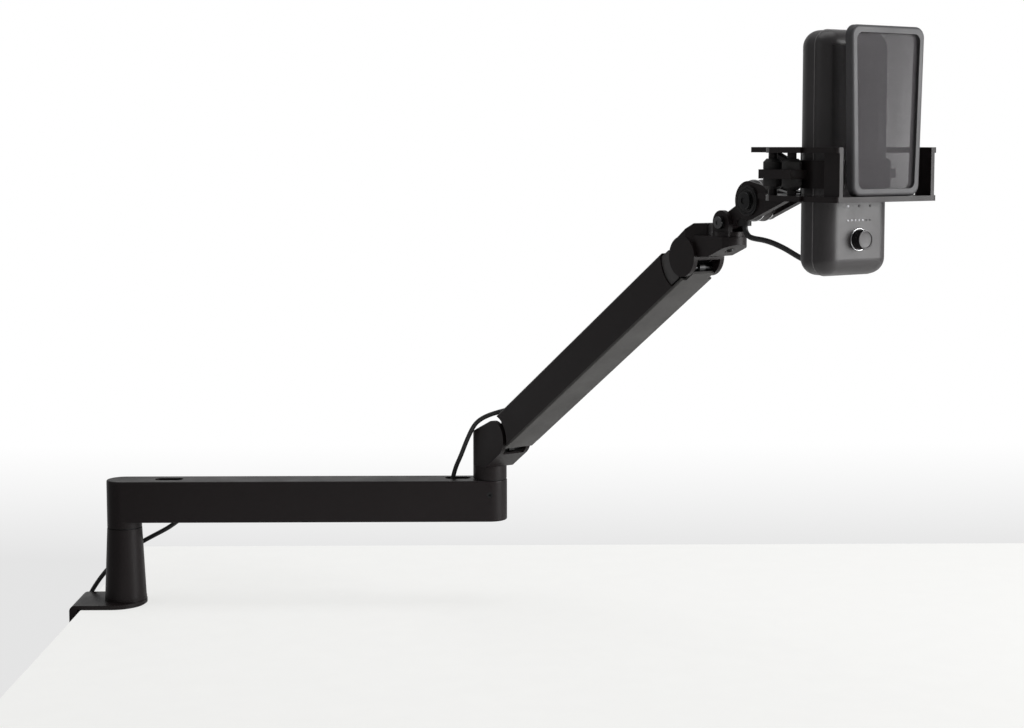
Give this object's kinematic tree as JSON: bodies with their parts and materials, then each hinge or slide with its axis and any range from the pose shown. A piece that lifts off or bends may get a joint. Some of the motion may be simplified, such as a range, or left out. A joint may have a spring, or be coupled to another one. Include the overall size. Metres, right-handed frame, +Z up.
{
  "type": "microphone boom arm",
  "caption": "Low desk boom arm with a clamp, swivelling lower beam, spring-balanced upper arm and a shock-mounted microphone with a pop filter.",
  "frame": {"origin": "on the base post's axis, on the desk's top face that the clamp's pad rests on", "axes": "+X along the lower arm from the base to the elbow, +Z up, +Y away from the side that the picture shows"},
  "size_m": [0.657, 0.449, 0.6085],
  "materials": {
    "black_metal": "satin black powder coat",
    "grey_metal": "satin warm grey coat",
    "bright_steel": "turned steel",
    "spring_steel": "oiled spring steel",
    "brass_bush": "turned bronze bush",
    "black_plastic": "fine textured black plastic",
    "grey_plastic": "fine textured grey plastic",
    "nylon": "natural sliding plastic",
    "rubber": "soft black rubber",
    "mic_shell": "satin black microphone body",
    "mesh": "black woven wire mesh",
    "cable_skin": "black lead jacket",
    "magnet": "plated magnet"
  },
  "bodies": {
    "clamp": {"clamp_bracket": "black_metal", "clamp_pad_top": "rubber", "base_post": "black_metal", "base_spindle": "bright_steel", "base_bolt": "bright_steel", "base_washer": "nylon", "cable_base": "cable_skin", "cable_coil": "cable_skin", "cable_tie": "black_plastic", "usb_plug": "black_plastic"},
    "clamp_jaw": {"clamp_jaw_pad": "black_plastic", "clamp_jaw_rubber": "rubber"},
    "clamp_screw": {"clamp_screw": "bright_steel", "clamp_knob": "black_plastic"},
    "lower_arm": {"lower_beam": "black_metal", "lower_cover": "black_plastic", "cover_magnets": "magnet", "beam_bushes": "brass_bush", "set_screws": "bright_steel", "cable_beam": "cable_skin", "cable_elbow_low": "cable_skin"},
    "elbow": {"elbow_block": "black_metal", "elbow_spindle": "bright_steel", "elbow_washer": "nylon", "elbow_pins": "bright_steel"},
    "upper_arm": {"arm_core": "spring_steel", "upper_shell": "black_metal", "upper_cover": "grey_metal", "arm_trims": "grey_metal", "counter_spring": "spring_steel", "cable_arm": "cable_skin", "cable_elbow_high": "cable_skin"},
    "spring_rod": {"spring_rod": "bright_steel"},
    "tie_link": {"tie_link": "bright_steel"},
    "head": {"head_block": "black_metal", "head_pins": "bright_steel"},
    "yoke": {"yoke": "black_metal", "swivel_spindle": "bright_steel", "knuckle_pin": "bright_steel"},
    "neck": {"neck_link": "black_metal", "cable_gland": "black_plastic", "hub_washers": "bright_steel"},
    "mount": {"mount_plate_lower": "black_metal", "mount_plate_upper": "black_metal", "mount_posts": "black_metal", "isolators": "rubber", "cradle": "black_metal", "hub_bolt": "bright_steel", "mic_front_shell": "mic_shell", "mic_rear_shell": "mic_shell", "mic_grille": "mesh", "mic_capsule": "grey_plastic", "mic_plug": "black_plastic", "cable_mic": "cable_skin"},
    "hub_knob": {"hub_knob": "black_plastic"},
    "dial_plunger": {"dial_plunger": "black_plastic"},
    "gain_knob": {"gain_knob": "black_plastic"},
    "pop_filter": {"filter_arms": "black_metal", "filter_frame": "black_plastic", "filter_mesh": "mesh"}
  },
  "joints": [
    {"name": "clamp_turn", "type": "hinge", "parent": "clamp_jaw", "child": "clamp_screw", "pos_m": [-0.006, 0, -0.08], "axis": [0, 0, 1], "range_deg": [-3845, 3125]},
    {"name": "clamp_slide", "type": "slide", "parent": "clamp", "child": "clamp_jaw", "axis": [0, 0, 1], "range_m": [-0.032, 0.026]},
    {"name": "base_swivel", "type": "hinge", "parent": "clamp", "child": "lower_arm", "pos_m": [0, 0, 0.0718], "axis": [0, 0, 1], "range_deg": [-170, 170], "deforming": ["cable_base"]},
    {"name": "elbow_swivel", "type": "hinge", "parent": "lower_arm", "child": "elbow", "pos_m": [0.31, 0, 0.1067], "axis": [0, 0, 1], "range_deg": [-73, 187], "deforming": ["cable_elbow_low"]},
    {"name": "arm_tilt", "type": "hinge", "parent": "elbow", "child": "upper_arm", "pos_m": [0.32471, -0.02264, 0.1452], "axis": [-0.8387, -0.5446, 0], "range_deg": [-52.2, 41.8], "deforming": ["cable_elbow_high", "counter_spring"]},
    {"name": "tie_follow", "type": "hinge", "parent": "elbow", "child": "tie_link", "pos_m": [0.32678, -0.02583, 0.13704], "axis": [-0.8387, -0.5446, 0], "range_deg": [-52.2, 41.8]},
    {"name": "rod_follow", "type": "hinge", "parent": "elbow", "child": "spring_rod", "pos_m": [0.32286, -0.01981, 0.15245], "axis": [-0.8387, -0.5446, 0], "range_deg": [-52.2, 41.8]},
    {"name": "head_level", "type": "hinge", "parent": "upper_arm", "child": "head", "pos_m": [0.46143, -0.23317, 0.30947], "axis": [-0.8387, -0.5446, 0], "range_deg": [-41.8, 52.2]},
    {"name": "head_swivel", "type": "hinge", "parent": "head", "child": "yoke", "pos_m": [0.48158, -0.26421, 0.32507], "axis": [0, 0, 1], "range_deg": [-90, 90]},
    {"name": "neck_tilt", "type": "hinge", "parent": "yoke", "child": "neck", "pos_m": [0.48158, -0.26421, 0.33507], "axis": [-0.829, -0.5592, 0], "range_deg": [-15, 50]},
    {"name": "mount_tilt", "type": "hinge", "parent": "neck", "child": "mount", "pos_m": [0.49823, -0.2889, 0.35104], "axis": [-0.829, -0.5592, 0], "range_deg": [-45, 45], "deforming": ["cable_mic"]},
    {"name": "hub_lock", "type": "hinge", "parent": "mount", "child": "hub_knob", "pos_m": [0.49823, -0.2889, 0.35104], "axis": [0.829, 0.5592, 0], "continuous": true},
    {"name": "dial_press", "type": "slide", "parent": "mount", "child": "dial_plunger", "axis": [-0.5592, 0.829, 0], "range_m": [0, 0.0009], "stiffness_N_per_m": 800},
    {"name": "dial_turn", "type": "hinge", "parent": "dial_plunger", "child": "gain_knob", "pos_m": [0.54482, -0.35796, 0.32824], "axis": [0.5592, -0.829, 0], "continuous": true},
    {"name": "filter_slide", "type": "slide", "parent": "mount", "child": "pop_filter", "axis": [0.5592, -0.829, 0], "range_m": [0, 0.06]}
  ],
  "couplings": [
    {"joint": "clamp_turn", "follows": "clamp_slide", "rad_per_m": 2094.4},
    {"joint": "tie_follow", "follows": "arm_tilt", "ratio": 1},
    {"joint": "rod_follow", "follows": "arm_tilt", "ratio": 1},
    {"joint": "head_level", "follows": "arm_tilt", "ratio": -1}
  ]
}
